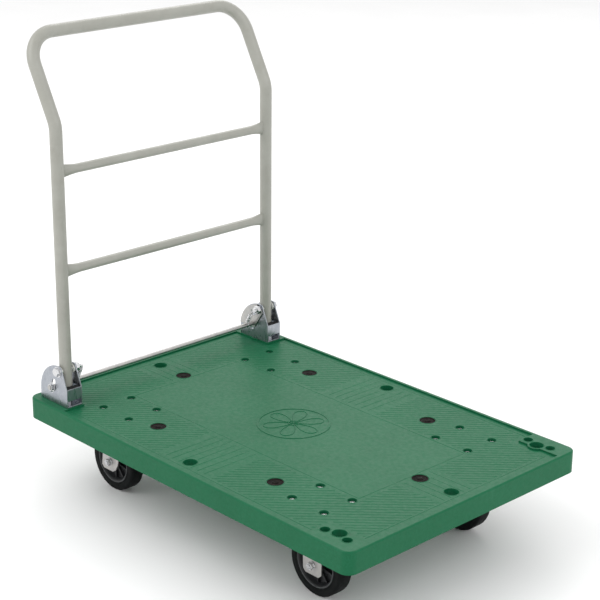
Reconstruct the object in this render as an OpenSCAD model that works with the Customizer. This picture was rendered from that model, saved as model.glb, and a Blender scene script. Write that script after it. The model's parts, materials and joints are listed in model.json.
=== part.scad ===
// Folding platform cart: a moulded deck on four casters, with a tubular push
// handle that folds forward over the deck. Millimetres. +X points from the
// handle to the free end, +Y to the left of a person pushing, +Z up. The floor
// is z = 0, and the origin is under the middle of the whole cart.

/* [Deck] */
// Length of the deck
deck_l = 900; // [760:10:1200]
// Width of the deck
deck_w = 604; // [560:4:760]
// Height of the deck's top rim above the floor
deck_top = 188; // [180:1:210]
// Height of the deck's skirt
skirt_h = 43; // [38:1:50]
// Radius of the deck's upright corners
corner_r = 20; // [16:1:30]
// Radius of the deck's top edge
edge_r = 3.5; // [2:0.5:6]
// Thickness of the skirt wall
skirt_t = 4; // [3:0.5:5]
// Thickness of the top panel
panel_t = 5; // [4:0.5:6]
// Width of the raised rim around the top
rim_w = 8; // [7:1:14]
// Depth of the loading surface below the rim
recess_d = 3.5; // [2:0.1:4.5]
// Diameter of the lashing holes
lash_d = 27; // [20:1:30]
// Radius of the round badge in the middle of the deck
badge_r = 72; // [50:1:90]

/* [Handle] */
// Outer diameter of the handle tube
tube_d = 25; // [22:0.5:28]
// Wall of the handle tube
tube_t = 1.6; // [1.2:0.1:2]
// Distance between the two uprights
upright_gap = 531; // [480:1:531]
// Distance from the deck's middle to the uprights
upright_dx = 370; // [300:1:370]
// Height above the deck at which the uprights bend back
bend_z = 559; // [500:1:620]
// Angle by which the top of the handle leans back
lean = 28.5; // [15:0.5:35]
// Length of the leaning part up to the grip's middle
lean_l = 180; // [150:1:220]
// Radius of the lower bends
bend_r = 50; // [40:1:80]
// Radius of the two top corners
grip_r = 60; // [45:1:90]
// Heights of the two rungs above the deck
rung_z = [272, 470]; // [200:1:480]
// Diameter of a rung
rung_d = 18; // [14:1:20]

/* [Handle brackets] */
// Outer width of a bracket
bracket_w = 37; // [36:1:40]
// Sheet thickness of a bracket
bracket_t = 2.5; // [2:0.5:3]
// Height of a bracket above the deck
bracket_h = 81.5; // [78:0.5:84]
// Height of the handle's pivot above the deck
pivot_z = 70; // [68:1:71]
// Diameter of the pivot bolts
pivot_d = 10; // [8:1:10]
// Diameter of the lock bar across the deck
lock_d = 9.5; // [8:0.5:10]
// How far the lock bar is pushed down to free the handle
lock_travel = 9; // [6:0.5:9]

/* [Casters] */
// Wheel diameter
wheel_d = 125; // [100:1:125]
// Wheel width
wheel_w = 32; // [28:1:34]
// Distance from the deck's middle to each pair of caster plates, along the deck
caster_dx = 270; // [220:1:280]
// Distance from the deck's middle to the casters, across the deck
caster_dy = 187; // [160:1:195]
// Hole spacing of a caster plate along the deck
plate_sx = 80; // [70:1:84]
// Hole spacing of a caster plate across the deck
plate_sy = 69; // [66:1:72]
// Trail of the swivel casters
trail = 41; // [30:1:45]
// Height of a caster from the floor to the top of its plate
caster_h = 160; // [158:1:162]

/* [Hidden] */
$fn = 48;

left = 1;
right = -1;
sides = [left, right];
signs = [-1, 1];

// The grip overhangs the deck, so the deck sits forward of the origin by half of that
tube_r = tube_d / 2;
overhang = upright_dx + lean_l * sin(lean) + tube_r - deck_l / 2;
deck_x = overhang / 2;

// Deck levels
skirt_z = deck_top - skirt_h;
panel_z = deck_top - panel_t - recess_d;
floor_z = deck_top - recess_d;
rib_t = 3;
rib_pitch = 85;

// Holes in the deck: [x, y] from its middle
lash_x = 405;
lash_y = 260;
plug_x = 330;
plug_xy = [165, 201];
plug_flange_r = 15.5;
plug_flange_t = 2;
plug_depth = 18;
corner_large = [386.5, 260];
corner_small = [[360, 268], [412.5, 268]];
corner_small_r = 9;
corner_small_depth = 9;
pad_x = 350;
pad_y = 252;
pad_lip_r = 17;
handle_pad_x = 341;
handle_pad_y = 245;
boss_wall = 4;
bracket_pad = [388, 268];
bracket_pad_l = 86;
bracket_pad_w = 50;
bolt_hole_r = 4.5;

// Casters
wheel_r = wheel_d / 2;
plate_l = 105;
plate_w = 92;
plate_t = 4;
plate_z = caster_h - plate_t;
well_r = 8.5;
well_z = floor_z - 11;
m8_r = 4;
m8_head_r = 6.5;
m8_head_h = 5.5;
m8_nut_r = 7.5;
m8_nut_h = 6.5;
washer_t = 1.6;
washer_r = 8;
fork_gap = 40;
fork_t = 3;
crown_t = 4;
crown_z = 138;
crown_r = 34;
race_r = 32;
race_hole_r = 18;
race_h = 6;
ball_r = 3;
ball_count = 16;
ball_ring_r = 25;
balls_z = plate_z - race_h - 1;
kingpin_r = 6;
kingpin_head_r = 11;
kingpin_head_h = 3;
tyre_in_r = 45.8;
rim_w2 = 15;
rim_in_r = 39;
web_t = 6;
hub_r = 14;
hub_l = 38;
bush_r = 8;
sleeve_r = 6;
run_gap = 0.05;

// Handle and brackets
handle_x = deck_x - upright_dx;
upright_y = upright_gap / 2;
pivot_r = pivot_d / 2;
pivot_abs_z = deck_top + pivot_z;
cheek_back = 60.5;
cheek_front = 26.5;
cheek_arc = [1, 20];
cheek_arc_r = 61.5;
cheek_lip_z = 38;
cheek_lip_x = 8;
web_z0 = 14;
web_z1 = 40;
foot_z = 35.5;
cap_t = 3;
bracket_bolt_x = [10, -42.5];
bracket_bolt_y = 268;
lock_r = lock_d / 2;
lock_dx = -20;
lock_z = 33;
lock_tilt = 20;
slot_up = 14;
plate_gap = 0.4;
lock_plate_t = 2;
lock_plate_y = upright_y - bracket_w / 2 - plate_gap - lock_plate_t;
collar_r = 6.5;
collar_l = plate_gap + lock_plate_t + 0.4;
pivot_nut_r = 9.5;
pivot_nut_l = 7;
spring_y = upright_y - bracket_w / 2 - collar_l - pivot_nut_l - 4;
spring_wire = 1.6;
spring_coil_r = 3.4;
spring_turns = 9;
sleeve_od_r = 7;
deck_green = [0.16, 0.46, 0.32];
zinc = [0.72, 0.73, 0.74];
tube_grey = [0.78, 0.77, 0.73];
rubber_black = [0.08, 0.08, 0.08];

// ---------------------------------------------------------------- helpers

// A cylinder along Y, centred on y0..y1
module y_rod(r, y0, y1, fn = 48) {
    translate([0, y1, 0]) rotate([90, 0, 0]) cylinder(r = r, h = y1 - y0, $fn = fn);
}

// Children at a place measured from the deck's middle
module on_deck(x, y, z) {
    translate([deck_x + x, y, z]) children();
}

// Children at every caster plate's four bolt holes, for all four casters
module at_caster_bolts(z) {
    for (cx = signs, cy = signs, bx = signs, by = signs)
        on_deck(cx * caster_dx + bx * plate_sx / 2, cy * caster_dy + by * plate_sy / 2, z)
            children();
}

// A rectangle centred on the origin with round corners
module round_rect(l, w, r) {
    square([l - 2 * r, w], center = true);
    square([l, w - 2 * r], center = true);
    for (sx = signs, sy = signs) translate([sx * (l / 2 - r), sy * (w / 2 - r)]) circle(r);
}

// A slot outline between two points
module slot_2d(a, b, r) {
    d = b - a;
    translate(a) rotate(atan2(d[1], d[0])) union() {
        circle(r);
        translate([norm(d), 0]) circle(r);
        translate([0, -r]) square([norm(d), 2 * r]);
    }
}

// ------------------------------------------------------------------- deck

// The skirt's and top panel's section, x outward from the corner's centre
module edge_profile() {
    flat_r = corner_r - edge_r;
    intersection() {
        union() {
            translate([0, panel_z]) square([corner_r, deck_top - panel_z]);
            translate([corner_r - skirt_t, skirt_z]) square([skirt_t, skirt_h]);
        }
        union() {
            translate([0, skirt_z]) square([flat_r, skirt_h]);
            translate([flat_r, skirt_z]) square([edge_r, skirt_h - edge_r]);
            translate([flat_r, deck_top - edge_r]) circle(edge_r);
        }
    }
}

// One straight stretch of the deck's edge, centred, facing +X
module edge_run(length, reach) {
    translate([reach, length / 2, 0]) rotate([90, 0, 0])
        linear_extrude(length) edge_profile();
}

module deck_shell() {
    in_l = deck_l - 2 * corner_r;
    in_w = deck_w - 2 * corner_r;
    translate([-in_l / 2, -in_w / 2, panel_z]) cube([in_l, in_w, deck_top - panel_z]);
    for (a = [0, 180]) rotate(a) edge_run(in_w, in_l / 2);
    for (a = [90, 270]) rotate(a) edge_run(in_l, in_w / 2);
    for (q = [[1, 1, 0], [-1, 1, 90], [-1, -1, 180], [1, -1, 270]])
        translate([q[0] * in_l / 2, q[1] * in_w / 2, 0]) rotate(q[2])
            rotate_extrude(angle = 90) edge_profile();
}

// Ribs under the top panel, both ways
module deck_ribs() {
    reach_x = deck_l / 2 - skirt_t;
    reach_y = deck_w / 2 - skirt_t;
    for (x = [-5 * rib_pitch : rib_pitch : 5 * rib_pitch])
        translate([x - rib_t / 2, -reach_y, caster_h]) cube([rib_t, 2 * reach_y, panel_z - caster_h + 1]);
    for (y = [-3 * rib_pitch : rib_pitch : 3 * rib_pitch])
        translate([-reach_x, y - rib_t / 2, caster_h]) cube([2 * reach_x, rib_t, panel_z - caster_h + 1]);
}

// Solid pads that carry the casters and the handle brackets
module deck_pads() {
    depth = panel_z - caster_h + 1;
    for (sx = signs, sy = signs) {
        translate([sx * caster_dx, sy * caster_dy, caster_h + depth / 2])
            cube([plate_l + 6, plate_w + 6, depth], center = true);
        translate([sx * bracket_pad[0], sy * bracket_pad[1], caster_h + depth / 2])
            cube([bracket_pad_l, bracket_pad_w, depth], center = true);
    }
    for (p = concat(lash_places(), plug_places())) translate([p[0], p[1], caster_h])
        cylinder(r = lash_d / 2 + boss_wall, h = depth);
}

function lash_places() = [[0, lash_y], [0, -lash_y], [lash_x, 0], [-lash_x, 0]];
function plug_places() = concat([[plug_x, 0], [-plug_x, 0]],
    [for (sx = signs, sy = signs) [sx * plug_xy[0], sy * plug_xy[1]]]);

// Outline of the sunken loading surface, which leaves the rim, four corner pads and,
// at the handle end, the wider pads that the brackets stand on
module recess_2d() {
    difference() {
        round_rect(deck_l - 2 * rim_w, deck_w - 2 * rim_w, corner_r - rim_w + 4);
        for (sx = signs, sy = signs) {
            translate([sx * (pad_x + 60), sy * (pad_y + 40)]) square([120, 80], center = true);
            translate([sx * corner_large[0], sy * corner_large[1]]) circle(pad_lip_r);
        }
        for (sy = signs) translate([-handle_pad_x - 60, sy * (handle_pad_y + 40)])
            square([120, 80], center = true);
    }
}

module deck_holes() {
    through = deck_top - skirt_z;
    for (p = lash_places()) translate([p[0], p[1], skirt_z])
        cylinder(r = lash_d / 2, h = through + 1);
    for (p = plug_places()) translate([p[0], p[1], 0]) {
        translate([0, 0, skirt_z]) cylinder(r = lash_d / 2, h = through);
        translate([0, 0, floor_z - plug_flange_t]) cylinder(r = plug_flange_r, h = 10);
    }
    for (sx = signs, sy = signs) {
        translate([sx * corner_large[0], sy * corner_large[1], skirt_z])
            cylinder(r = lash_d / 2, h = through + 1);
        for (c = corner_small) translate([sx * c[0], sy * c[1], 0]) {
            translate([0, 0, skirt_z]) cylinder(r = bolt_hole_r, h = through + 1);
            translate([0, 0, deck_top - corner_small_depth])
                cylinder(r = corner_small_r, h = corner_small_depth + 1);
        }
        for (bx = signs, by = signs)
            translate([sx * caster_dx + bx * plate_sx / 2, sy * caster_dy + by * plate_sy / 2, 0]) {
                translate([0, 0, skirt_z]) cylinder(r = bolt_hole_r, h = through);
                translate([0, 0, well_z]) cylinder(r = well_r, h = 20);
            }
    }
    for (sy = signs) translate([-caster_dx, sy * caster_dy, caster_h - 1])
        cylinder(r = kingpin_head_r + 2, h = kingpin_head_h + 2);
}

module deck() {
    color(deck_green) translate([deck_x, 0, 0]) {
        difference() {
            union() {
                deck_shell();
                deck_ribs();
                deck_pads();
            }
            translate([0, 0, floor_z]) linear_extrude(recess_d + 1) recess_2d();
            deck_holes();
        }
        translate([0, 0, floor_z - 0.5]) difference() {
            cylinder(r = badge_r, h = 1.3, $fn = 96);
            translate([0, 0, -1]) cylinder(r = badge_r - 4, h = 4, $fn = 96);
        }
    }
}

module deck_plugs() {
    color([0.13, 0.09, 0.07]) for (p = plug_places()) on_deck(p[0], p[1], 0) {
        translate([0, 0, floor_z - plug_flange_t])
            cylinder(r = plug_flange_r, h = plug_flange_t);
        translate([0, 0, floor_z - plug_depth]) cylinder(r = lash_d / 2, h = plug_depth);
    }
}

// --------------------------------------------------------------- brackets

// Children in a bracket's own frame: x from the pivot, y from its middle, z from the deck
module in_bracket(side) {
    translate([handle_x, side * upright_y, deck_top]) children();
}

// A cheek's outline, x from the pivot and y up from the deck
module cheek_2d(inset = 0) {
    intersection() {
        union() {
            translate(cheek_arc) circle(cheek_arc_r - inset, $fn = 96);
            translate([-cheek_back + inset, 0]) square([cheek_back + cheek_front - inset, cheek_arc[1]]);
        }
        polygon([[-cheek_back, 0], [cheek_front, 0], [cheek_front, cheek_lip_z],
            [cheek_lip_x, bracket_h - inset], [-cheek_back, bracket_h - inset]]);
    }
}

// The end points of the lock bar's slot, as the bar's centre
function slot_dir() = [-sin(lock_tilt), -cos(lock_tilt)];
function slot_top() = [lock_dx, lock_z] - slot_up * slot_dir();
function slot_end() = [lock_dx, lock_z] + (lock_travel + 0.5) * slot_dir();

module window_2d() {
    slot_2d([-20, 55.5], [-12, 58], 3.5);
}

// One cheek, thick along +Y from y = 0
module cheek(with_window) {
    translate([0, bracket_t, 0]) rotate([90, 0, 0]) linear_extrude(bracket_t) difference() {
        cheek_2d();
        translate([0, pivot_z]) circle(pivot_r + 0.1);
        slot_2d(slot_top(), slot_end(), lock_r + 0.3);
        if (with_window) window_2d();
    }
}

module bracket(side) {
    half = bracket_w / 2;
    color(zinc) in_bracket(side) difference() {
        union() {
            for (y = [[-half, side > 0], [half - bracket_t, side < 0]])
                translate([0, y[0], 0]) cheek(y[1]);
            translate([-cheek_back, -half, 0])
                cube([cheek_back + cheek_front, bracket_w, bracket_t]);
            translate([cheek_front - bracket_t, -half, web_z0])
                cube([bracket_t, bracket_w, web_z1 - web_z0 - 2]);
        }
        for (x = bracket_bolt_x) translate([x, side * (bracket_bolt_y - upright_y), -1])
            cylinder(r = bolt_hole_r, h = bracket_t + 2);
    }
}

module at_bracket_bolts(z) {
    for (side = sides, x = bracket_bolt_x)
        translate([handle_x + x, side * bracket_bolt_y, z]) children();
}

module bracket_bolts() {
    top = deck_top + bracket_t;
    color(zinc) at_bracket_bolts(0) {
        translate([0, 0, top]) cylinder(r = m8_head_r, h = m8_head_h, $fn = 6);
        translate([0, 0, caster_h - 14]) cylinder(r = m8_r, h = top - caster_h + 14.5);
    }
}

module backing_plates() {
    color(zinc) for (side = sides) difference() {
        translate([handle_x - 58, side * bracket_bolt_y - 14, caster_h - 3]) cube([82, 28, 3]);
        at_bracket_bolts(caster_h - 4) cylinder(r = m8_r + 0.3, h = 6);
    }
}

module bracket_nuts() {
    color(zinc) at_bracket_bolts(caster_h - 3 - m8_nut_h) difference() {
        cylinder(r = m8_nut_r, h = m8_nut_h, $fn = 6);
        translate([0, 0, -1]) cylinder(r = m8_r, h = m8_nut_h + 2);
    }
}

// Children with y measured inward from the upright, for both sides; z at the pivot
module at_pivots() {
    for (side = sides) translate([handle_x, side * upright_y, pivot_abs_z])
        rotate([0, 0, side > 0 ? 0 : 180]) children();
}

// Each bolt enters from the outer cheek (+y here) and ends past the spring (-y)
module pivot_bolts() {
    half = bracket_w / 2;
    inner = spring_y - upright_y - 3;
    color(zinc) at_pivots() {
        y_rod(pivot_r, inner, half + 0.5);
        y_rod(11, half, half + 1.5);
        y_rod(8.5, half + 1.5, half + 7.5, 6);
    }
}

module pivot_nuts() {
    half = bracket_w / 2;
    color(zinc) at_pivots() difference() {
        union() {
            y_rod(collar_r, -half - collar_l, -half);
            y_rod(pivot_nut_r, -half - collar_l - pivot_nut_l, -half - collar_l, 6);
        }
        y_rod(pivot_r, -half - 20, 0);
    }
}

module pivot_spacers() {
    face = bracket_w / 2 - bracket_t;
    color([0.85, 0.85, 0.82]) at_pivots() for (s = signs) difference() {
        y_rod(9, s > 0 ? tube_r + 0.4 : -face, s > 0 ? face : -tube_r - 0.4);
        y_rod(pivot_r + 0.1, -face - 1, face + 1);
    }
}

// A block behind each front web, which the foot of the tube leans on
module stop_blocks() {
    color(rubber_black) for (side = sides) in_bracket(side)
        translate([tube_r + 0.4, -bracket_w / 2 + bracket_t, web_z0 + 9])
            cube([cheek_front - bracket_t - tube_r - 0.4, bracket_w - 2 * bracket_t, web_z1 - web_z0 - 11]);
}

// ----------------------------------------------------------------- springs

// The spring's path in its own plane: u along the spring from the bolt, v across, w out of plane
spring_len = norm([lock_dx, lock_z - pivot_z]);
hook_r = [pivot_r + spring_wire / 2 + 0.2, lock_r + spring_wire / 2 + 0.2];
coil_span = [hook_r[0] + 3.5, spring_len - hook_r[1] - 3.5];

function spring_path() = concat(
    [for (a = [-150 : 30 : 0]) [hook_r[0] * cos(a), hook_r[0] * sin(a), 0]],
    [for (i = [0 : spring_turns * 8])
        [coil_span[0] + (coil_span[1] - coil_span[0]) * i / (spring_turns * 8),
         spring_coil_r * sin(45 * i), spring_coil_r * (1 - cos(45 * i))]],
    [for (a = [180 : -30 : 30]) [spring_len + hook_r[1] * cos(a), hook_r[1] * sin(a), 0]]);

function unit(v) = v / norm(v);
function ring(path, i, r, n) =
    let (t = unit(path[min(i + 1, len(path) - 1)] - path[max(i - 1, 0)]),
         s = unit(cross(t, [0.13, 0.21, 1])), b = cross(t, s))
    [for (k = [0 : n - 1]) path[i] + r * (cos(360 * k / n) * s + sin(360 * k / n) * b)];

// A round wire along a path
module wire(path, r, n) {
    m = len(path);
    points = [for (i = [0 : m - 1]) each ring(path, i, r, n)];
    faces = concat(
        [[for (k = [0 : n - 1]) k]],
        [for (i = [0 : m - 2], k = [0 : n - 1])
            [i * n + k, (i + 1) * n + k, (i + 1) * n + (k + 1) % n, i * n + (k + 1) % n]],
        [[for (k = [n - 1 : -1 : 0]) (m - 1) * n + k]]);
    polyhedron(points, faces);
}

module lock_springs() {
    fall = atan2(pivot_z - lock_z, lock_dx);
    color(zinc) for (side = sides) mirror([0, side == right ? 1 : 0, 0])
        translate([handle_x, spring_y, pivot_abs_z]) rotate([90, 0, 0])
            rotate(-fall) wire(spring_path(), spring_wire / 2, 6);
}

// ------------------------------------------------------------------ handle

// The tube's section
module tube_2d() {
    difference() {
        circle(tube_r);
        circle(tube_r - tube_t);
    }
}

// A straight length of tube going up from the origin
module tube_run(length) {
    linear_extrude(length) tube_2d();
}

// A bend whose centre is the origin, in the plane of X and Z, starting along +X
module tube_bend(radius, angle) {
    rotate([90, 0, 0]) rotate_extrude(angle = angle) translate([radius, 0]) tube_2d();
}

// Children in the leaning part's frame, whose z runs up the lean
module lean_frame() {
    translate([0, 0, bend_z]) rotate([0, -lean, 0]) children();
}

bend_cut = bend_r * tan(lean / 2);

// One upright with its bend, which the arm of the grip's tube is welded to
module upright(side) {
    foot = foot_z + cap_t;
    leg_top = bend_z - bend_cut;
    color(tube_grey) translate([handle_x, side * upright_y, deck_top]) difference() {
        union() {
            translate([0, 0, foot]) tube_run(leg_top - foot);
            translate([-bend_r, 0, leg_top]) tube_bend(bend_r, lean);
        }
        translate([0, 0, pivot_z]) y_rod(sleeve_od_r, -tube_r - 1, tube_r + 1);
    }
}

// The two leaning arms, the top corners and the grip
module grip_tube() {
    top_y = upright_y - grip_r;
    corner_z = lean_l - grip_r;
    color(tube_grey) translate([handle_x, 0, deck_top]) lean_frame() {
        for (side = sides) {
            translate([0, side * upright_y, bend_cut]) tube_run(corner_z - bend_cut);
            translate([0, side * top_y, corner_z]) rotate([0, 0, side * 90]) tube_bend(grip_r, 90);
        }
        translate([0, top_y, lean_l]) rotate([90, 0, 0]) tube_run(2 * top_y);
    }
}

// A rung, flattened and spread where it is welded to the uprights
module rung(height) {
    flare = 34;
    color(tube_grey) translate([handle_x, 0, deck_top + height]) difference() {
        union() {
            y_rod(rung_d / 2, -upright_y + flare, upright_y - flare);
            for (s = signs) hull() {
                translate([0, s * (upright_y - flare), 0]) y_rod(rung_d / 2, -0.5, 0.5, 32);
                translate([0, s * (upright_y - 6), 0]) cube([9, 12, 27], center = true);
            }
        }
        for (s = signs) translate([0, s * upright_y, -30]) cylinder(r = tube_r, h = 60);
    }
}

module upper_rung() {
    rung(rung_z[1]);
}

module lower_rung() {
    rung(rung_z[0]);
}

module tube_end_caps() {
    color(rubber_black) for (side = sides) in_bracket(side) {
        translate([0, 0, foot_z]) cylinder(r = tube_r, h = cap_t);
        translate([0, 0, foot_z]) cylinder(r = tube_r - tube_t, h = cap_t + 12);
    }
}

module pivot_sleeves() {
    color(zinc) at_pivots() difference() {
        y_rod(sleeve_od_r, -tube_r, tube_r);
        y_rod(pivot_r + run_gap, -tube_r - 1, tube_r + 1);
    }
}

// --------------------------------------------------------------- lock bar

lock_reach = upright_y + bracket_w / 2 + 9;

module at_lock_bar() {
    translate([handle_x + lock_dx, 0, deck_top + lock_z]) children();
}

module lock_bar() {
    color(tube_grey) at_lock_bar() y_rod(lock_r, -lock_reach, lock_reach);
}

// The plate at each end of the bar, which slides down the inner cheek
module lock_plate(side) {
    y0 = side > 0 ? lock_plate_y : -lock_plate_y - lock_plate_t;
    color(tube_grey) translate([handle_x, y0 + lock_plate_t, deck_top]) rotate([90, 0, 0])
        linear_extrude(lock_plate_t) difference() {
            intersection() {
                cheek_2d(1.5);
                polygon([[-62, 26], [-13, 26], [11, 63], [6.5, 80], [-62, 80]]);
            }
            slot_2d([0, pivot_z], [0, pivot_z] - 24 * slot_dir(), collar_r + 0.6);
            translate([lock_dx, lock_z]) circle(lock_r);
            window_2d();
        }
}

module lock_bar_washers() {
    face = upright_y + bracket_w / 2 + 0.4;
    color(zinc) at_lock_bar() for (s = signs) difference() {
        y_rod(9, s > 0 ? face : -face - 1.6, s > 0 ? face + 1.6 : -face);
        y_rod(lock_r, -lock_reach, lock_reach);
    }
}

module lock_bar_caps() {
    face = upright_y + bracket_w / 2 + 2.2;
    color(zinc) at_lock_bar() for (s = signs) difference() {
        y_rod(7, s > 0 ? face : -face - 5, s > 0 ? face + 5 : -face);
        y_rod(lock_r, -lock_reach, lock_reach);
    }
}

// ---------------------------------------------------------------- casters

// Children in a caster's frame: x and y from its plate's centre, z from the floor
module at_caster(end, side) {
    on_deck(end * caster_dx, side * caster_dy, 0) children();
}

function axle_x(end) = end < 0 ? -trail : 0;

module plate_2d() {
    difference() {
        round_rect(plate_l, plate_w, 9);
        for (bx = signs, by = signs) translate([bx * plate_sx / 2, by * plate_sy / 2])
            circle(bolt_hole_r);
    }
}

module swivel_plate(side) {
    color(zinc) at_caster(-1, side) translate([0, 0, plate_z]) linear_extrude(plate_t)
        difference() {
            plate_2d();
            circle(kingpin_r);
        }
}

// A ring whose inner face has the groove that the balls run in
module race(z0) {
    difference() {
        translate([0, 0, z0]) cylinder(r = race_r, h = race_h, $fn = 72);
        translate([0, 0, z0 - 1]) cylinder(r = race_hole_r, h = race_h + 2);
        translate([0, 0, balls_z]) rotate_extrude() translate([ball_ring_r, 0])
            circle(ball_r + run_gap);
    }
}

module upper_races() {
    color(zinc) for (side = sides) at_caster(-1, side) race(plate_z - race_h);
}

module lower_race(side) {
    color(zinc) at_caster(-1, side) race(crown_z + crown_t);
}

module bearing_balls() {
    color(zinc) for (side = sides) at_caster(-1, side) for (i = [0 : ball_count - 1])
        rotate(360 * i / ball_count) translate([ball_ring_r, 0, balls_z])
            sphere(ball_r, $fn = 24);
}

module kingpins() {
    color(zinc) for (side = sides) at_caster(-1, side) {
        translate([0, 0, crown_z - 9]) cylinder(r = kingpin_r, h = caster_h - crown_z + 9.5);
        translate([0, 0, caster_h]) cylinder(r = kingpin_head_r, h = kingpin_head_h);
    }
}

module kingpin_nuts() {
    color(zinc) for (side = sides) at_caster(-1, side) translate([0, 0, crown_z - 7.3])
        difference() {
            cylinder(r = 10.5, h = 7, $fn = 6);
            translate([0, 0, -1]) cylinder(r = kingpin_r, h = 9);
        }
}

// Both legs of a fork from a side outline in x and z
module fork_legs(outline, axle) {
    for (y = [-fork_gap / 2, fork_gap / 2 + fork_t]) translate([0, y, 0]) rotate([90, 0, 0])
        linear_extrude(fork_t) difference() {
            polygon(outline);
            translate([axle, wheel_r]) circle(m8_r + 0.1);
        }
}

module rigid_fork(side) {
    color(zinc) at_caster(1, side) {
        translate([0, 0, plate_z]) linear_extrude(plate_t) plate_2d();
        fork_legs([[-36, plate_z], [36, plate_z], [24, 98], [23, 50], [16, 43.5],
            [-16, 43.5], [-23, 50], [-24, 98]], 0);
    }
}

module swivel_fork(side) {
    top = crown_z + crown_t;
    color(zinc) at_caster(-1, side) {
        translate([0, 0, crown_z]) linear_extrude(crown_t) difference() {
            union() {
                circle(crown_r, $fn = 72);
                translate([-crown_r, -fork_gap / 2 - fork_t])
                    square([crown_r + 28, fork_gap + 2 * fork_t]);
            }
            circle(kingpin_r + run_gap);
        }
        fork_legs([[-crown_r, crown_z], [28, crown_z], [-11, 82], [-15, 64], [-22, 50],
            [-32, 43.5], [-60, 43.5], [-66, 50], [-63, 76], [-46, 112]], -trail);
    }
}

module caster_bolts() {
    color(zinc) at_caster_bolts(0) {
        translate([0, 0, well_z + washer_t]) cylinder(r = m8_head_r, h = m8_head_h, $fn = 6);
        translate([0, 0, plate_z - 8]) cylinder(r = m8_r, h = well_z - plate_z + 10);
    }
}

module caster_washers() {
    color(zinc) at_caster_bolts(well_z) difference() {
        cylinder(r = washer_r, h = washer_t);
        translate([0, 0, -1]) cylinder(r = m8_r, h = 4);
    }
}

module caster_nuts() {
    color(zinc) at_caster_bolts(plate_z - m8_nut_h) difference() {
        cylinder(r = m8_nut_r, h = m8_nut_h, $fn = 6);
        translate([0, 0, -1]) cylinder(r = m8_r, h = m8_nut_h + 2);
    }
}

// Children at a wheel's axle, with y pointing to the outside of the cart
module at_axle(end, side) {
    at_caster(end, side) translate([axle_x(end), 0, wheel_r])
        rotate([0, 0, side > 0 ? 0 : 180]) children();
}

module axle_bolt(end, side) {
    out = fork_gap / 2 + fork_t;
    color(zinc) at_axle(end, side) {
        y_rod(m8_r, -out - 0.5, out + 9.5);
        y_rod(m8_head_r, -out - m8_head_h, -out, 6);
    }
}

module axle_nut(end, side) {
    out = fork_gap / 2 + fork_t;
    color(zinc) at_axle(end, side) difference() {
        union() {
            y_rod(washer_r, out, out + washer_t);
            y_rod(m8_nut_r, out + washer_t, out + washer_t + m8_nut_h, 6);
        }
        y_rod(m8_r, 0, 60);
    }
}

module axle_sleeve(end, side) {
    color(zinc) at_axle(end, side) difference() {
        y_rod(sleeve_r, -fork_gap / 2, fork_gap / 2);
        y_rod(m8_r + 0.1, -30, 30);
    }
}

// A solid of revolution about the axle from a section with x as the radius
module turned(end, side) {
    at_axle(end, side) rotate([90, 0, 0]) rotate_extrude($fn = 96) children();
}

module tyre(end, side) {
    shoulder = 8;
    half = wheel_w / 2;
    color(rubber_black) turned(end, side) {
        translate([tyre_in_r, -half]) square([wheel_r - shoulder - tyre_in_r, wheel_w]);
        translate([tyre_in_r, -half + shoulder])
            square([wheel_r - tyre_in_r, wheel_w - 2 * shoulder]);
        for (s = signs) translate([wheel_r - shoulder, s * (half - shoulder)]) circle(shoulder);
    }
}

module rim(end, side) {
    color([0.2, 0.2, 0.21]) turned(end, side) {
        translate([rim_in_r, -rim_w2]) square([tyre_in_r - rim_in_r, 2 * rim_w2]);
        translate([bush_r + 1, -web_t / 2]) square([rim_in_r - bush_r, web_t]);
        translate([bush_r, -hub_l / 2]) square([hub_r - bush_r, hub_l]);
    }
}

module bush(end, side) {
    color([0.75, 0.62, 0.35]) turned(end, side)
        translate([sleeve_r + run_gap, -hub_l / 2]) square([bush_r - sleeve_r - run_gap, hub_l]);
}

module rigid_axle_bolts() {
    for (side = sides) axle_bolt(1, side);
}

module rigid_axle_nuts() {
    for (side = sides) axle_nut(1, side);
}

module rigid_axle_sleeves() {
    for (side = sides) axle_sleeve(1, side);
}

// ------------------------------------------------------------------- nodes

deck();
deck_plugs();
bracket(left);  // bracket_left
bracket(right);  // bracket_right
bracket_bolts();
bracket_nuts();
backing_plates();
pivot_bolts();
pivot_nuts();
pivot_spacers();
stop_blocks();
lock_springs();
upright(left);  // upright_left
upright(right);  // upright_right
grip_tube();
upper_rung();
lower_rung();
tube_end_caps();
pivot_sleeves();
lock_bar();
lock_plate(left);  // lock_plate_left
lock_plate(right);  // lock_plate_right
lock_bar_washers();
lock_bar_caps();
swivel_plate(left);  // swivel_plate_left
swivel_plate(right);  // swivel_plate_right
upper_races();
bearing_balls();
kingpins();
kingpin_nuts();
rigid_fork(left);  // rigid_fork_left
rigid_fork(right);  // rigid_fork_right
caster_bolts();
caster_washers();
caster_nuts();
rigid_axle_bolts();
rigid_axle_nuts();
rigid_axle_sleeves();
swivel_fork(left);  // swivel_fork_left
swivel_fork(right);  // swivel_fork_right
lower_race(left);  // lower_race_left
lower_race(right);  // lower_race_right
axle_bolt(-1, left);  // swivel_axle_bolt_left
axle_bolt(-1, right);  // swivel_axle_bolt_right
axle_nut(-1, left);  // swivel_axle_nut_left
axle_nut(-1, right);  // swivel_axle_nut_right
axle_sleeve(-1, left);  // swivel_axle_sleeve_left
axle_sleeve(-1, right);  // swivel_axle_sleeve_right
tyre(-1, left);  // tyre_rear_left
tyre(-1, right);  // tyre_rear_right
tyre(1, left);  // tyre_front_left
tyre(1, right);  // tyre_front_right
rim(-1, left);  // rim_rear_left
rim(-1, right);  // rim_rear_right
rim(1, left);  // rim_front_left
rim(1, right);  // rim_front_right
bush(-1, left);  // bush_rear_left
bush(-1, right);  // bush_rear_right
bush(1, left);  // bush_front_left
bush(1, right);  // bush_front_right
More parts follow.
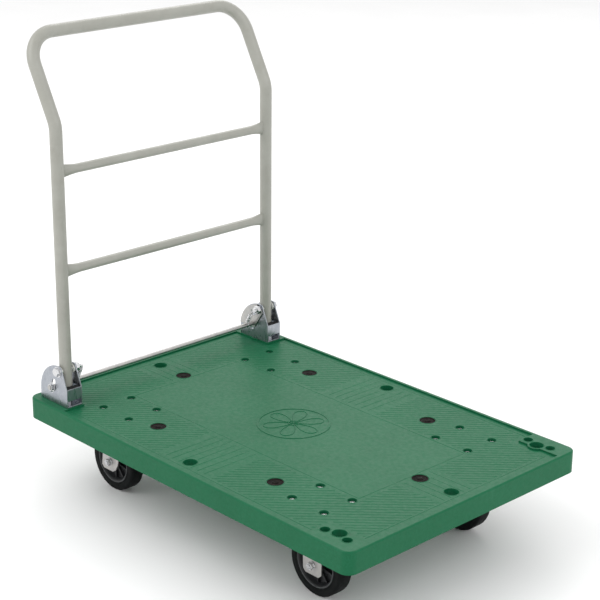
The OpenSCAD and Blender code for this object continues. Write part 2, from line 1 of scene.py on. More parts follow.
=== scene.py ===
"""The looks of the folding platform cart.

A green moulded deck, a painted handle that folds, zinc brackets and four casters. The CAD nodes give the
places and sizes. Lengths are metres, and numbers times MM, or in the deck's own outlines, are millimetres.
"""

import json
import math
import random

import bmesh
import bpy
from mathutils import Matrix, Vector


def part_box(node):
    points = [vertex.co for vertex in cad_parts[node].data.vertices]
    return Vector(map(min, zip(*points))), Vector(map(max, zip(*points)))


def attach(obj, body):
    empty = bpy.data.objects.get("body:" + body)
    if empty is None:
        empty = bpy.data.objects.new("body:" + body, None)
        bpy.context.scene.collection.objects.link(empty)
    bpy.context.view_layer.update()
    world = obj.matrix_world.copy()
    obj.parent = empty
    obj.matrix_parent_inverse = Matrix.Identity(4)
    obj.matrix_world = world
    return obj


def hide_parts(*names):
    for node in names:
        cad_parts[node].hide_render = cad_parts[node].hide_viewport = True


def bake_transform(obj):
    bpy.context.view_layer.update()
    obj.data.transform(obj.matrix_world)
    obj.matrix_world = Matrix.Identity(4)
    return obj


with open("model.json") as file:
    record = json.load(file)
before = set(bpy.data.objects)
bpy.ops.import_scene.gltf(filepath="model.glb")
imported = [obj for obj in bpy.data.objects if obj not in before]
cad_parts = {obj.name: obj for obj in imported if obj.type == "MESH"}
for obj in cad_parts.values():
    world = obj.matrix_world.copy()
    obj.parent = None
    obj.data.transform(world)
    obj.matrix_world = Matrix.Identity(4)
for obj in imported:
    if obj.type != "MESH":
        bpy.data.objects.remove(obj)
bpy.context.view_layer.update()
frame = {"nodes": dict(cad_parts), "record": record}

# ------------------------------------------------------------------ sizes, in metres
MM = 0.001
SIDES = {"left": 1, "right": -1}

deck_low, deck_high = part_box("deck")
deck_x = (deck_low.x + deck_high.x) / 2
deck_top = deck_high.z
floor_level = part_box("deck_plugs")[1].z  # the sunken loading surface

upright_low, upright_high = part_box("upright_left")
tube_r = 12.5 * MM
handle_x = upright_high.x - tube_r
upright_y = (upright_low.y + upright_high.y) / 2
foot_level = upright_low.z
bend_level = deck_top + 559 * MM
lean = math.radians(28.5)
lean_length = 180 * MM
bend_r = 50 * MM
grip_r = 60 * MM
rung_r = 9 * MM
pivot = Vector((handle_x, 0, deck_top + 70 * MM))
bar_low, bar_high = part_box("lock_bar")
bar_centre = (bar_low + bar_high) / 2
spring_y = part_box("lock_springs")[1].y - 5 * MM
wheel_r = 62.5 * MM
rung_boxes = [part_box("lower_rung"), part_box("upper_rung")]
RUNG_LEVELS = [(low.z + high.z) / 2 for low, high in rung_boxes]

# Hole radii, and the holes' places in millimetres from the deck's middle: (x, y)
LASH_R = 13.5 * MM
WELL_R = 8.5 * MM
PLUG_R = 15.5 * MM
LASH_HOLES = [(0, 260), (0, -260), (405, 0), (-405, 0)]
PLUGS = [(330, 0), (-330, 0)] + [(x, y) for x in (-165, 165) for y in (-201, 201)]
WELLS = [
    (cx * 270 + bx * 40, cy * 187 + by * 34.5)
    for cx in (-1, 1)
    for cy in (-1, 1)
    for bx in (-1, 1)
    for by in (-1, 1)
]
CORNER_SMALL_R = 9 * MM
CORNER_LARGE = [(386.5, y * 260) for y in (-1, 1)]
CORNER_SMALL = [(x, y * 268) for y in (-1, 1) for x in (360, 412.5)]

# Fields of the loading surface, in millimetres from the deck's middle
BADGE_R = 72
RIB_STEP = 10 * math.sqrt(2)
SIDE_RIB_STEP = 18
END_RIB_STEP = 17
RIB_END_X = 420
RIB_END_Y = 276
SIDE_RIBS_X = 76
SIDE_RIBS_Y = 146
END_RIBS_X = 320
END_RIBS_Y = 48
PAD_X = 340
PAD_Y = 236
CENTRE_FIELD = (313, 139)
WHOLE_FIELD = (424, 281)


# ------------------------------------------------------------------ materials
class Look:
    """A node material, with short ways to add texture to its shader."""

    def __init__(self, name, roughness, metallic=0.0, specular=0.5):
        self.material = bpy.data.materials.new(name)
        self.material.use_nodes = True
        self.nodes = self.material.node_tree.nodes
        self.links = self.material.node_tree.links
        self.shader = self.nodes["Principled BSDF"]
        self.shader.inputs["Roughness"].default_value = roughness
        self.shader.inputs["Metallic"].default_value = metallic
        self.shader.inputs["Specular IOR Level"].default_value = specular
        self.place = self.nodes.new("ShaderNodeTexCoord").outputs["Object"]
        self.normal = None

    def stretched(self, x, y, z):
        """The object's coordinates with each axis scaled."""
        mapping = self.nodes.new("ShaderNodeMapping")
        mapping.inputs["Scale"].default_value = (x, y, z)
        self.links.new(self.place, mapping.inputs["Vector"])
        return mapping.outputs["Vector"]

    def noise(self, scale, detail=4.0, place=None, roughness=0.55):
        node = self.nodes.new("ShaderNodeTexNoise")
        node.inputs["Scale"].default_value = scale
        node.inputs["Detail"].default_value = detail
        node.inputs["Roughness"].default_value = roughness
        self.links.new(place or self.place, node.inputs["Vector"])
        return node.outputs["Fac"]

    def cells(self, scale, feature="F1"):
        node = self.nodes.new("ShaderNodeTexVoronoi")
        node.feature = feature
        node.inputs["Scale"].default_value = scale
        self.links.new(self.place, node.inputs["Vector"])
        return node.outputs["Distance"]

    def ramp(self, value, stops):
        """A value sent through colour stops: (place, (r, g, b))."""
        node = self.nodes.new("ShaderNodeValToRGB")
        ramp = node.color_ramp
        while len(ramp.elements) < len(stops):
            ramp.elements.new(0.5)
        for element, (place, colour) in zip(ramp.elements, stops):
            element.position = place
            element.color = (*colour, 1)
        self.links.new(value, node.inputs["Fac"])
        return node.outputs["Color"]

    def spread(self, value, low, high, start=0.3, end=0.7):
        """A texture's value mapped to the range low..high."""
        node = self.nodes.new("ShaderNodeMapRange")
        node.inputs["From Min"].default_value = start
        node.inputs["From Max"].default_value = end
        node.inputs["To Min"].default_value = low
        node.inputs["To Max"].default_value = high
        self.links.new(value, node.inputs["Value"])
        return node.outputs["Result"]

    def blend(self, factor, first, second):
        node = self.nodes.new("ShaderNodeMix")
        node.data_type = "RGBA"
        self.links.new(factor, node.inputs["Factor"])
        self.links.new(first, node.inputs["A"])
        self.links.new(second, node.inputs["B"])
        return node.outputs["Result"]

    def colour(self, socket):
        self.links.new(socket, self.shader.inputs["Base Color"])
        return self

    def rough(self, socket):
        self.links.new(socket, self.shader.inputs["Roughness"])
        return self

    def bump(self, height, distance, strength=1.0):
        node = self.nodes.new("ShaderNodeBump")
        node.inputs["Strength"].default_value = strength
        node.inputs["Distance"].default_value = distance
        self.links.new(height, node.inputs["Height"])
        if self.normal:
            self.links.new(self.normal, node.inputs["Normal"])
        self.normal = node.outputs["Normal"]
        self.links.new(self.normal, self.shader.inputs["Normal"])
        return self


def deck_plastic():
    """Green polypropylene with a fine moulded grain, faint flow clouds and pale scuffs."""
    look = Look("deck_plastic", 0.4, specular=0.15)
    clouds = look.ramp(
        look.noise(7, 5), [(0.25, (0.005, 0.100, 0.041)), (0.75, (0.008, 0.124, 0.053))]
    )
    speckle = look.ramp(
        look.noise(260, 3), [(0.35, (0.006, 0.102, 0.042)), (0.7, (0.011, 0.136, 0.062))]
    )
    body = look.blend(look.spread(look.noise(35, 3), 0.2, 0.6), clouds, speckle)
    scuff_mask = look.spread(look.noise(9, 8, look.stretched(1, 7, 1), 0.7), 0, 0.35, 0.6, 0.75)
    scuffs = look.ramp(look.noise(90, 4), [(0.3, (0.02, 0.135, 0.068)), (0.7, (0.035, 0.165, 0.095))])
    look.colour(look.blend(scuff_mask, body, scuffs))
    look.rough(look.spread(look.noise(120, 4), 0.34, 0.5))
    look.bump(look.cells(700), 0.00010, 0.5)
    look.bump(look.noise(1500, 2), 0.00008, 0.6)
    return look.material


def handle_paint():
    """Warm light grey paint with a little orange peel and rubbed patches."""
    look = Look("handle_paint", 0.34, specular=0.5)
    base = look.ramp(
        look.noise(12, 5), [(0.3, (0.315, 0.315, 0.280)), (0.7, (0.355, 0.355, 0.320))]
    )
    grime = look.ramp(look.noise(60, 6), [(0.45, (0.285, 0.280, 0.245)), (0.8, (0.37, 0.37, 0.335))])
    look.colour(look.blend(look.spread(look.noise(25, 3), 0.0, 0.5), base, grime))
    look.rough(look.spread(look.noise(40, 4), 0.28, 0.42))
    look.bump(look.noise(420, 2), 0.00012, 0.35)
    return look.material


def zinc(name, tint, low, high, direction=(1, 1, 1)):
    """Zinc plate: bright steel with soft cloudy patches and rolling marks along one direction."""
    look = Look(name, (low + high) / 2, metallic=1.0)
    r, g, b = tint
    patches = look.ramp(
        look.cells(160, "SMOOTH_F1"),
        [(0.1, (r * 0.86, g * 0.87, b * 0.9)), (0.6, (r, g, b)), (0.95, (r * 0.93, g * 0.95, b))],
    )
    dulled = look.ramp(
        look.noise(45, 6), [(0.35, (r * 0.72, g * 0.74, b * 0.78)), (0.7, (r, g, b))]
    )
    look.colour(look.blend(look.spread(look.noise(30, 4), 0.15, 0.7), patches, dulled))
    rolled = look.stretched(*direction)
    look.rough(look.spread(look.noise(240, 5, rolled), low, high))
    look.bump(look.noise(600, 4, rolled), 0.00006, 0.5)
    return look.material


def tyre_rubber():
    """Black rubber, a little grey where it has rolled."""
    look = Look("tyre_rubber", 0.6, specular=0.12)
    base = look.ramp(look.noise(40, 6), [(0.3, (0.002, 0.003, 0.003)), (0.75, (0.005, 0.007, 0.007))])
    dust = look.ramp(look.noise(300, 5), [(0.4, (0.004, 0.005, 0.005)), (0.8, (0.014, 0.014, 0.014))])
    look.colour(look.blend(look.spread(look.noise(18, 4), 0.0, 0.5), base, dust))
    look.rough(look.spread(look.noise(90, 4), 0.5, 0.7))
    look.bump(look.noise(900, 3), 0.00015, 0.4)
    return look.material


def rim_plastic():
    """Dark satin plastic of the wheel's core."""
    look = Look("rim_plastic", 0.42, specular=0.5)
    base = look.ramp(look.noise(50, 4), [(0.3, (0.008, 0.009, 0.010)), (0.7, (0.016, 0.017, 0.019))])
    look.colour(base)
    look.rough(look.spread(look.noise(150, 4), 0.34, 0.5))
    look.bump(look.noise(1200, 2), 0.00008, 0.5)
    return look.material


def grey_band():
    """The grey tread bond line between the tyre and its core."""
    look = Look("grey_band", 0.5, specular=0.4)
    look.colour(look.ramp(look.noise(80, 4), [(0.3, (0.040, 0.043, 0.045)), (0.7, (0.075, 0.080, 0.082))]))
    look.bump(look.noise(900, 2), 0.00006, 0.4)
    return look.material


def plug_rubber():
    """Dark brown rubber plugs with a pitted face."""
    look = Look("plug_rubber", 0.7, specular=0.08)
    base = look.ramp(look.noise(160, 5), [(0.35, (0.003, 0.002, 0.002)), (0.7, (0.012, 0.008, 0.006))])
    look.colour(base)
    look.rough(look.spread(look.noise(220, 4), 0.5, 0.8))
    look.bump(look.cells(420), 0.0004, 0.5)
    return look.material


def plain_rubber():
    look = Look("black_rubber", 0.7, specular=0.35)
    look.colour(look.ramp(look.noise(120, 4), [(0.3, (0.012, 0.012, 0.012)), (0.7, (0.03, 0.03, 0.03))]))
    look.bump(look.noise(700, 3), 0.0001, 0.4)
    return look.material


def nylon():
    look = Look("nylon", 0.45, specular=0.5)
    look.colour(look.ramp(look.noise(80, 3), [(0.3, (0.60, 0.60, 0.55)), (0.7, (0.70, 0.70, 0.66))]))
    look.bump(look.noise(500, 2), 0.0001, 0.3)
    return look.material


def brass():
    look = Look("bush_brass", 0.3, metallic=1.0)
    look.colour(look.ramp(look.noise(90, 4), [(0.3, (0.50, 0.36, 0.16)), (0.7, (0.66, 0.50, 0.26))]))
    look.rough(look.spread(look.noise(200, 4, look.stretched(1, 12, 1)), 0.22, 0.42))
    return look.material


LOOKS = {
    "deck_plastic": deck_plastic(),
    "plug_rubber": plug_rubber(),
    "handle_paint": handle_paint(),
    "lock_paint": zinc("lock_paint", (0.50, 0.49, 0.47), 0.34, 0.5, (1, 0.1, 1)),
    "tyre_rubber": tyre_rubber(),
    "rim_plastic": rim_plastic(),
    "bush_brass": brass(),
    "black_rubber": plain_rubber(),
    "nylon": nylon(),
    "bracket_zinc": zinc("bracket_zinc", (0.40, 0.42, 0.45), 0.22, 0.42, (1, 1, 0.15)),
    "fork_zinc": zinc("fork_zinc", (0.54, 0.52, 0.50), 0.3, 0.5, (1, 1, 0.15)),
    "bearing_steel": zinc("bearing_steel", (0.62, 0.62, 0.64), 0.12, 0.25),
    "fastener_zinc": zinc("fastener_zinc", (0.66, 0.66, 0.66), 0.18, 0.34),
}
GREY_BAND = grey_band()


# ------------------------------------------------------------------ mesh helpers
SHARP_ANGLE = 35
BEVEL_ANGLE = 40


def piece(name, bm, body, slot, *replaced):
    """A finished mesh as a piece that rides on a body and takes the slot's material."""
    bmesh.ops.recalc_face_normals(bm, faces=bm.faces)
    mesh = bpy.data.meshes.new(name)
    bm.to_mesh(mesh)
    bm.free()
    mesh.shade_smooth()
    mesh.set_sharp_from_angle(angle=math.radians(SHARP_ANGLE))
    obj = bpy.data.objects.new(name, mesh)
    bpy.context.scene.collection.objects.link(obj)
    mesh.materials.append(LOOKS[slot])
    if body:
        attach(obj, body)
    if replaced:
        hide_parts(*replaced)
    return obj


def sweep(bm, path, section, closed=False):
    """Joins one ring of points for each point of a path.

    section(i, along) gives a ring's (across, up) points, with along from 0 to 1.
    """
    count = len(path)
    rings = []
    previous = None
    for i, point in enumerate(path):
        before = path[(i - 1) % count] if closed or i else point
        after = path[(i + 1) % count] if closed or i < count - 1 else point
        tangent = (after - before).normalized()
        if previous is None:
            seed = Vector((0, 1, 0)) if abs(tangent.y) < 0.9 else Vector((1, 0, 0))
            across = (seed - tangent * seed.dot(tangent)).normalized()
        else:
            across = (previous - tangent * previous.dot(tangent)).normalized()
        previous = across
        up = tangent.cross(across)
        rings.append([bm.verts.new(point + across * a + up * b) for a, b in section(i, i / (count - 1))])
    pairs = list(zip(rings, rings[1:])) + ([(rings[-1], rings[0])] if closed else [])
    sides = len(rings[0])
    for one, two in pairs:
        for k in range(sides):
            bm.faces.new([one[k], one[(k + 1) % sides], two[(k + 1) % sides], two[k]])
    if not closed:
        bm.faces.new(rings[0][::-1])
        bm.faces.new(rings[-1])
    return rings


def circle(radius, sides):
    return [
        (radius * math.cos(2 * math.pi * k / sides), radius * math.sin(2 * math.pi * k / sides))
        for k in range(sides)
    ]


def tube(bm, path, radius, sides=24, closed=False):
    ring = circle(radius, sides)
    return sweep(bm, path, lambda i, t: ring, closed)


def lathe(bm, profile, centre, axis="Z", sides=96):
    """Turns a closed outline of (radius, height) points about an axis through centre."""
    rings = []
    for k in range(sides):
        c, s = math.cos(2 * math.pi * k / sides), math.sin(2 * math.pi * k / sides)
        ring = []
        for r, h in profile:
            place = Vector((r * c, r * s, h)) if axis == "Z" else Vector((r * c, h, r * s))
            ring.append(bm.verts.new(centre + place))
        rings.append(ring)
    for one, two in zip(rings, rings[1:] + rings[:1]):
        for i in range(len(profile)):
            j = (i + 1) % len(profile)
            bm.faces.new([one[i], one[j], two[j], two[i]])


def arc(centre, radius, start, end, steps):
    """Points of an arc in the plane of a profile, with angles in degrees."""
    return [
        (
            centre[0] + radius * math.cos(math.radians(start + (end - start) * i / steps)),
            centre[1] + radius * math.sin(math.radians(start + (end - start) * i / steps)),
        )
        for i in range(steps + 1)
    ]


def bevelled(obj, width, segments=2):
    """Rounds an object's sharp edges with modifiers, which leave its mesh alone."""
    weld = obj.modifiers.new("weld", "WELD")
    weld.merge_threshold = 0.00001
    bevel = obj.modifiers.new("bevel", "BEVEL")
    bevel.width = width
    bevel.segments = segments
    bevel.limit_method = "ANGLE"
    bevel.angle_limit = math.radians(BEVEL_ANGLE)
    bevel.harden_normals = False
    obj.modifiers.new("normals", "WEIGHTED_NORMAL")
    return obj


# ------------------------------------------------------------------ deck
def on_deck(x, y, z=0.0):
    """A point from millimetres measured from the deck's middle, at a height above the loading surface."""
    return Vector((deck_x + x * MM, y * MM, floor_level + z * MM))


def in_ribbed_zone(x, y):
    """Is a point in one of the four corner fields that carry slanting ribs?"""
    u, v = abs(x), abs(y)
    side_field = SIDE_RIBS_X < u < RIB_END_X and SIDE_RIBS_Y < v < RIB_END_Y
    end_field = END_RIBS_X < u < RIB_END_X and END_RIBS_Y < v < RIB_END_Y
    on_pad = u > PAD_X and v > PAD_Y
    return (side_field or end_field) and not on_pad


def near_hole(x, y, margin=3.5):
    holes = [(p, LASH_R) for p in LASH_HOLES] + [(p, PLUG_R) for p in PLUGS]
    holes += [(p, WELL_R) for p in WELLS]
    return any(math.hypot(x - p[0], y - p[1]) < r / MM + margin for p, r in holes)


def rib(bm, start, end, width=2.6, height=0.3):
    """One low ridge of the anti-slip pattern, with sloping flanks and tapered ends."""
    a, b = on_deck(*start), on_deck(*end)
    along = (b - a).normalized()
    across = Vector((-along.y, along.x, 0)) * (width * MM / 2)
    taper = along * (1.2 * MM)
    low, top = Vector((0, 0, -0.3 * MM)), Vector((0, 0, height * MM))
    base = [bm.verts.new(p + low) for p in (a - across, b - across, b + across, a + across)]
    crest = [
        bm.verts.new(p + top)
        for p in (
            a + taper - across * 0.35,
            b - taper - across * 0.35,
            b - taper + across * 0.35,
            a + taper + across * 0.35,
        )
    ]
    bm.faces.new(crest)
    for i in range(4):
        j = (i + 1) % 4
        bm.faces.new([base[i], base[j], crest[j], crest[i]])


def rib_runs(bm, start, direction, length, allowed):
    """Lays a rib along every stretch of a line that is allowed and clear of holes."""
    step, run = 2.0, None
    for i in range(int(length / step) + 2):
        x, y = start[0] + direction[0] * i * step, start[1] + direction[1] * i * step
        free = i * step <= length and allowed(x, y) and not near_hole(x, y)
        if free and run is None:
            run = (x, y)
        if not free and run is not None:
            end = (x - direction[0] * step, y - direction[1] * step)
            if math.dist(run, end) > 5:
                rib(bm, run, end)
            run = None


def slip_ribs():
    """The anti-slip ribs: slanting one way in the corners, crosswise at the sides, lengthwise at the ends."""
    bm = bmesh.new()
    diagonal = math.sqrt(0.5)
    for i in range(-76, 77):
        start = (i * RIB_STEP - 300, -300)
        rib_runs(bm, start, (diagonal, diagonal), 850, in_ribbed_zone)
    for sy in (-1, 1):
        for i in range(-3, 4):
            rib_runs(bm, (i * SIDE_RIB_STEP, sy * 148), (0, sy), 126, lambda x, y: True)
    for sx in (-1, 1):
        for i in range(-2, 3):
            rib_runs(bm, (sx * 322, i * END_RIB_STEP), (sx, 0), 98, lambda x, y: True)
    return piece("deck_slip_ribs", bm, "chassis", "deck_plastic")


def deck_borders():
    """Fine raised lines round the smooth middle field and round the whole loading surface."""
    bm = bmesh.new()
    for half_x, half_y in (CENTRE_FIELD, WHOLE_FIELD):
        line = [(-half_x, -half_y), (half_x, -half_y), (half_x, half_y), (-half_x, half_y)]
        for a, b in zip(line, line[1:] + line[:1]):
            length = math.dist(a, b)
            direction = ((b[0] - a[0]) / length, (b[1] - a[1]) / length)
            rib_runs(bm, a, direction, length, lambda x, y: not (abs(x) > 342 and abs(y) > 240))
    return piece("deck_border_lines", bm, "chassis", "deck_plastic")


def hole_lips():
    """A rolled lip round every hole, as a mould leaves it."""
    bm = bmesh.new()
    rims = [(p, LASH_R / MM, 0) for p in LASH_HOLES] + [(p, WELL_R / MM, 0) for p in WELLS]
    rims += [(p, PLUG_R / MM + 0.4, 0) for p in PLUGS]
    pad = (deck_top - floor_level) / MM
    rims += [(p, LASH_R / MM, pad) for p in CORNER_LARGE]
    rims += [(p, CORNER_SMALL_R / MM, pad) for p in CORNER_SMALL]
    for (x, y), radius, level in rims:
        profile = arc(((radius + 0.75) * MM, 0), 0.95 * MM, 0, 330, 11)
        lathe(bm, profile, on_deck(x, y, level - 0.45), sides=48)
    return piece("deck_hole_lips", bm, "chassis", "deck_plastic")


def badge():
    """A generic rosette of six petals inside the ring in the middle of the deck."""
    bm = bmesh.new()
    for petal in range(6):
        turn = math.radians(60 * petal)
        line = []
        for i in range(33):
            t = i / 32
            out = 60 * math.sin(math.pi * t)
            aside = 13 * math.sin(2 * math.pi * t)
            line.append(
                on_deck(
                    out * math.cos(turn) - aside * math.sin(turn),
                    out * math.sin(turn) + aside * math.cos(turn),
                    0.1,
                )
            )
        tube(bm, line[:-1], 0.75 * MM, 8, closed=True)
    angles = [math.radians(360 * i / 96) for i in range(96)]
    for radius in (BADGE_R - 1, 10):
        ring = [on_deck(radius * math.cos(a), radius * math.sin(a), 0.1) for a in angles]
        tube(bm, ring, 0.8 * MM, 8, closed=True)
    return piece("deck_rosette", bm, "chassis", "deck_plastic")


def plugs():
    """The rubber plugs: a rolled flange round a dished face with a raised button."""
    bm = bmesh.new()
    outline = [(0.0005, -18), (12.9, -18), (13.3, -17.5), (13.3, -2.2), (15.3, -2.0)]
    outline += arc((14.4, -0.9), 0.9, 0, 90, 5) + [(13.0, -0.15), (12.2, -0.9), (6.2, -1.1)]
    outline += [(5.6, -0.4), (5.0, -0.15), (2.0, -0.1), (0.0005, -0.1)]
    for x, y in PLUGS:
        lathe(bm, [(r * MM, h * MM) for r, h in outline], on_deck(x, y), sides=48)
    return piece("rubber_plugs", bm, "chassis", "plug_rubber", "deck_plugs")


# ------------------------------------------------------------------ handle
def lean_point(side_y, up):
    """A point of the leaning part, measured up the lean from the bend's apex."""
    return Vector((handle_x - up * math.sin(lean), side_y, bend_level + up * math.cos(lean)))


def handle_path():
    """The tube's centreline from the left foot over the grip to the right foot."""
    cut = bend_r * math.tan(lean / 2)
    half = [Vector((handle_x, upright_y, foot_level))]
    rise = bend_level - cut - foot_level
    half += [Vector((handle_x, upright_y, foot_level + rise * i / 12)) for i in range(1, 12)]
    for i in range(9):
        a = lean * i / 8
        across, up = bend_r * (1 - math.cos(a)), bend_r * math.sin(a)
        half.append(Vector((handle_x - across, upright_y, bend_level - cut + up)))
    corner_up = lean_length - grip_r
    half += [lean_point(upright_y, cut + (corner_up - cut) * i / 5) for i in range(1, 5)]
    for i in range(17):
        a = math.pi / 2 * i / 16
        y = upright_y - grip_r * (1 - math.cos(a))
        half.append(lean_point(y, corner_up + grip_r * math.sin(a)))
    half.append(lean_point(upright_y / 3, lean_length))
    mirrored = [Vector((p.x, -p.y, p.z)) for p in reversed(half)]
    return half + mirrored


def handle_frame():
    bm = bmesh.new()
    tube(bm, handle_path(), tube_r - 0.05 * MM, 40)
    return piece("handle_frame", bm, "handle", "handle_paint", "upright_left", "upright_right", "grip_tube")


def rung_tube(name, height):
    """A rung that is flattened and spread where it meets the uprights."""
    bm = bmesh.new()
    reach = upright_y - 6 * MM
    steps = 44
    path = [Vector((handle_x, -reach + 2 * reach * i / steps, height)) for i in range(steps + 1)]
    flare = 36 * MM

    def section(i, t):
        to_end = min(t, 1 - t) * 2 * reach
        spread = max(0.0, 1 - to_end / flare)
        spread = spread * spread * (3 - 2 * spread)
        wide, tall = rung_r - 4.6 * MM * spread, rung_r + 4.4 * MM * spread
        return [(wide * a, tall * b) for a, b in circle(1, 28)]

    sweep(bm, path, section)
    return piece(name, bm, "handle", "handle_paint", name.replace("_tube", ""))


def rung_welds():
    """Uneven weld beads where the rungs' flat ends meet the uprights."""
    bm = bmesh.new()
    rng = random.Random(11)
    for height in RUNG_LEVELS:
        for side in SIDES.values():
            path = []
            for i in range(40):
                a = 2 * math.pi * i / 40
                x, z = 4.7 * MM * math.cos(a), 13.6 * MM * math.sin(a)
                inset = tube_r - math.sqrt(max(tube_r**2 - x * x, 0))
                y = side * (upright_y - tube_r + inset - 0.3 * MM)
                path.append(Vector((handle_x + x, y, height + z)))
            sizes = [1.25 * MM * (1 + 0.18 * rng.uniform(-1, 1)) for _ in path]
            sweep(bm, path, lambda i, t, sizes=sizes: circle(sizes[i], 10), closed=True)
    return piece("rung_welds", bm, "handle", "handle_paint")


# ------------------------------------------------------------------ springs
def lock_spring(name, side):
    """A close-wound tension spring with a hook over the pivot bolt and one under the lock bar."""
    bm = bmesh.new()
    top = Vector((pivot.x, side * spring_y, pivot.z))
    foot = Vector((bar_centre.x, side * spring_y, bar_centre.z))
    along = (foot - top).normalized()
    across = Vector((0, side, 0))
    up = along.cross(across)
    length = (foot - top).length
    wire, coil = 0.8 * MM, 3.4 * MM
    hook_top, hook_foot = 6.0 * MM, 5.75 * MM
    start, end, turns = hook_top + 3.5 * MM, length - hook_foot - 3.5 * MM, 11
    path = []
    for i in range(11):
        a = math.radians(-150 + 15 * i)
        path.append(top + along * hook_top * math.cos(a) + up * hook_top * math.sin(a))
    for i in range(turns * 20 + 1):
        a = 2 * math.pi * i / 20
        reach = start + (end - start) * i / (turns * 20)
        path.append(top + along * reach + up * coil * math.sin(a) - across * coil * (1 - math.cos(a)))
    for i in range(11):
        a = math.radians(180 - 15 * i)
        path.append(foot + along * hook_foot * math.cos(a) + up * hook_foot * math.sin(a))
    tube(bm, path, wire, 10)
    obj = piece(name, bm, None, "fastener_zinc", "lock_springs")
    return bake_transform(obj)


# ------------------------------------------------------------------ wheels
def wheel(end, side_name):
    """A tyre with a crowned tread and moulded side rings, on a core with ribs and a stepped web."""
    node = f"{end}_{side_name}"
    low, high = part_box("tyre_" + node)
    centre = (low + high) / 2
    half = (high.y - low.y) / 2 / MM
    body = "wheel_" + node
    shoulder = 5.0
    outline = [(45.9, -half + 0.6), (46.4, -half + 0.1), (48.4, -half + 0.1), (48.8, -half + 0.7)]
    outline += [(49.6, -half + 0.7), (50.0, -half + 0.05)]
    outline += arc((wheel_r / MM - shoulder, -half + shoulder), shoulder, -90, -12, 8)
    outline += [(wheel_r / MM - 0.05, -3.0), (wheel_r / MM, 0), (wheel_r / MM - 0.05, 3.0)]
    outline += arc((wheel_r / MM - shoulder, half - shoulder), shoulder, 12, 90, 8)
    outline += [(50.0, half - 0.05), (49.6, half - 0.7)]
    outline += [(48.8, half - 0.7), (48.4, half - 0.1), (46.4, half - 0.1), (45.9, half - 0.6)]
    bm = bmesh.new()
    lathe(bm, [(r * MM, h * MM) for r, h in outline], centre, "Y", 128)
    piece("tyre_tread_" + node, bm, body, "tyre_rubber", "tyre_" + node)

    bm = bmesh.new()
    face = []
    for sign in (-1, 1):
        rows = [(45.7, 14.9), (43.2, 14.9), (42.6, 14.2), (40.6, 12.0), (39.4, 5.0), (37.8, 3.3)]
        rows += [(27.0, 3.0), (26.4, 4.4), (20.0, 4.8), (15.4, 6.0), (14.2, 17.8), (13.4, 18.9), (8.05, 18.9)]
        face += [(r, sign * h) for r, h in (rows if sign < 0 else reversed(rows))]
    lathe(bm, [(r * MM, h * MM) for r, h in face], centre, "Y", 96)
    for k in range(10):
        turn = Matrix.Rotation(math.radians(36 * k + 18), 4, "Y")
        for sign in (-1, 1):
            corners = [(16, 3), (38.8, 3), (38.8, 8.5), (16, 9.5)]
            blade = [
                [bm.verts.new(centre + turn @ Vector((r * MM, sign * h * MM, w * MM))) for r, h in corners]
                for w in (-1.1, 1.1)
            ]
            bm.faces.new(blade[0])
            bm.faces.new(blade[1][::-1])
            for i in range(4):
                j = (i + 1) % 4
                bm.faces.new([blade[0][i], blade[0][j], blade[1][j], blade[1][i]])
    piece("wheel_core_" + node, bm, body, "rim_plastic", "rim_" + node)

    bm = bmesh.new()
    for sign in (-1, 1):
        ring = [(43.4, 14.6), (45.6, 14.6), (45.6, 15.3), (45.2, 15.6), (43.8, 15.6), (43.4, 15.3)]
        lathe(bm, [(r * MM, sign * h * MM) for r, h in ring], centre, "Y", 96)
    band = piece("bond_ring_" + node, bm, body, "rim_plastic")
    band.data.materials[0] = GREY_BAND


# ------------------------------------------------------------------ the object
def carried_over_nodes():
    """The CAD nodes that stay: each gets its slot's material, and the brackets, plates, forks, fasteners,
    lock bar and stop blocks get rounded edges by their size.
    """
    slots = {row["node"]: row["material_slot"] for row in frame["record"]["subparts"]}
    for name, obj in frame["nodes"].items():
        obj.material_slots[0].material = LOOKS[slots[name]]
    for side in SIDES:
        bevelled(frame["nodes"]["bracket_" + side], 0.7 * MM, 3)
        bevelled(frame["nodes"]["lock_plate_" + side], 0.4 * MM)
        bevelled(frame["nodes"]["rigid_fork_" + side], 0.6 * MM, 3)
        bevelled(frame["nodes"]["swivel_fork_" + side], 0.6 * MM, 3)
        bevelled(frame["nodes"]["swivel_plate_" + side], 0.5 * MM)
    for name in (
        "bracket_bolts", "bracket_nuts", "backing_plates", "pivot_bolts", "pivot_nuts",
        "caster_bolts", "caster_nuts", "rigid_axle_bolts", "rigid_axle_nuts", "lock_bar",
        "lock_bar_caps", "lock_bar_washers", "kingpin_nuts", "stop_blocks",
        "swivel_axle_bolt_left", "swivel_axle_bolt_right",
        "swivel_axle_nut_left", "swivel_axle_nut_right",
    ):
        bevelled(frame["nodes"][name], 0.5 * MM)


carried_over_nodes()
slip_ribs()
deck_borders()
hole_lips()
badge()
plugs()
handle_frame()
rung_tube("lower_rung_tube", RUNG_LEVELS[0])
rung_tube("upper_rung_tube", RUNG_LEVELS[1])
rung_welds()
for side_name, side_sign in SIDES.items():
    lock_spring("spring_" + side_name, side_sign)
    for end_name in ("rear", "front"):
        wheel(end_name, side_name)


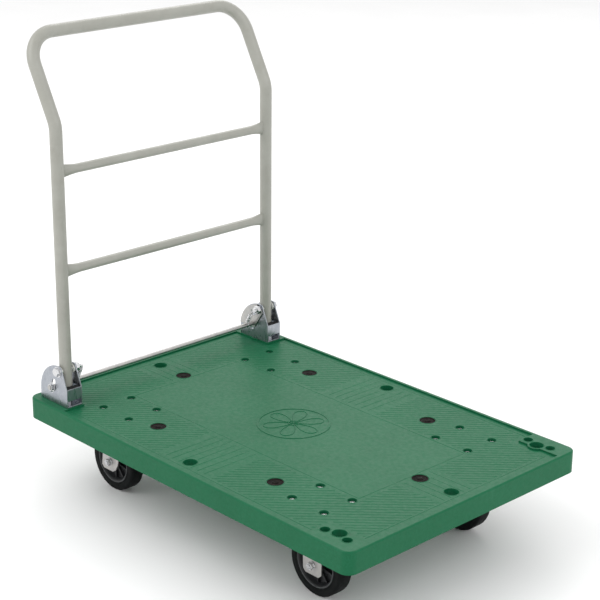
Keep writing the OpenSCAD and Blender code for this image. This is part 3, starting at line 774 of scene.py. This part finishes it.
# ------------------------------------------------------------------ floor, light and camera
def studio():
    """A pale floor, a white surround and soft lights above."""
    scene = bpy.context.scene
    scene.view_settings.view_transform = "Standard"
    scene.world = bpy.data.worlds.new("studio")
    scene.world.use_nodes = True
    sky = scene.world.node_tree.nodes["Background"]
    sky.inputs["Color"].default_value = (1.0, 1.0, 1.0, 1)
    sky.inputs["Strength"].default_value = 1.0

    bm = bmesh.new()
    bmesh.ops.create_circle(bm, cap_ends=True, segments=96, radius=14)
    mesh = bpy.data.meshes.new("studio_floor")
    bm.to_mesh(mesh)
    bm.free()
    floor = bpy.data.objects.new("studio_floor", mesh)
    scene.collection.objects.link(floor)
    look = Look("studio_floor", 0.9, specular=0.1)
    look.colour(look.ramp(look.noise(2, 2), [(0.3, (0.90, 0.90, 0.90)), (0.7, (0.93, 0.93, 0.93))]))
    mesh.materials.append(look.material)

    lights = (
        ((-1.6, -2.6, 3.4), 3.0, 62, (1.0, 1.0, 1.0)),
        ((3.2, 0.6, 2.6), 2.4, 26, (0.97, 0.99, 1.0)),
        ((-2.4, 2.8, 3.2), 2.6, 40, (1.0, 0.99, 0.97)),
    )
    for i, (place, size, power, tint) in enumerate(lights):
        data = bpy.data.lights.new(f"softbox_{i}", "AREA")
        data.size = size
        data.energy = power
        data.color = tint
        lamp = bpy.data.objects.new(data.name, data)
        lamp.location = place
        aim = Vector((0, 0, 0.3)) - Vector(place)
        lamp.rotation_euler = aim.to_track_quat("-Z", "Y").to_euler()
        scene.collection.objects.link(lamp)


def camera():
    """A camera at the usual three-quarter view from the free end's right."""
    azimuth, elevation, roll = math.radians(46.23), math.radians(19.69), 0.49 * math.pi / 180
    right = Vector((math.cos(azimuth), math.sin(azimuth), 0))
    back = Vector(
        (
            math.sin(azimuth) * math.cos(elevation),
            -math.cos(azimuth) * math.cos(elevation),
            math.sin(elevation),
        )
    )
    up = back.cross(right)
    turned_right = right * math.cos(roll) + up * math.sin(roll)
    turned_up = up * math.cos(roll) - right * math.sin(roll)
    data = bpy.data.cameras.new("camera")
    data.lens = 101.04
    data.sensor_width = 36
    data.clip_end = 100
    view = bpy.data.objects.new("camera", data)
    place = Matrix((turned_right, turned_up, back)).transposed().to_4x4()
    place.translation = Vector((2.1650, -2.0511, 1.5017))
    view.matrix_world = place
    bpy.context.scene.collection.objects.link(view)
    bpy.context.scene.camera = view


studio()
camera()
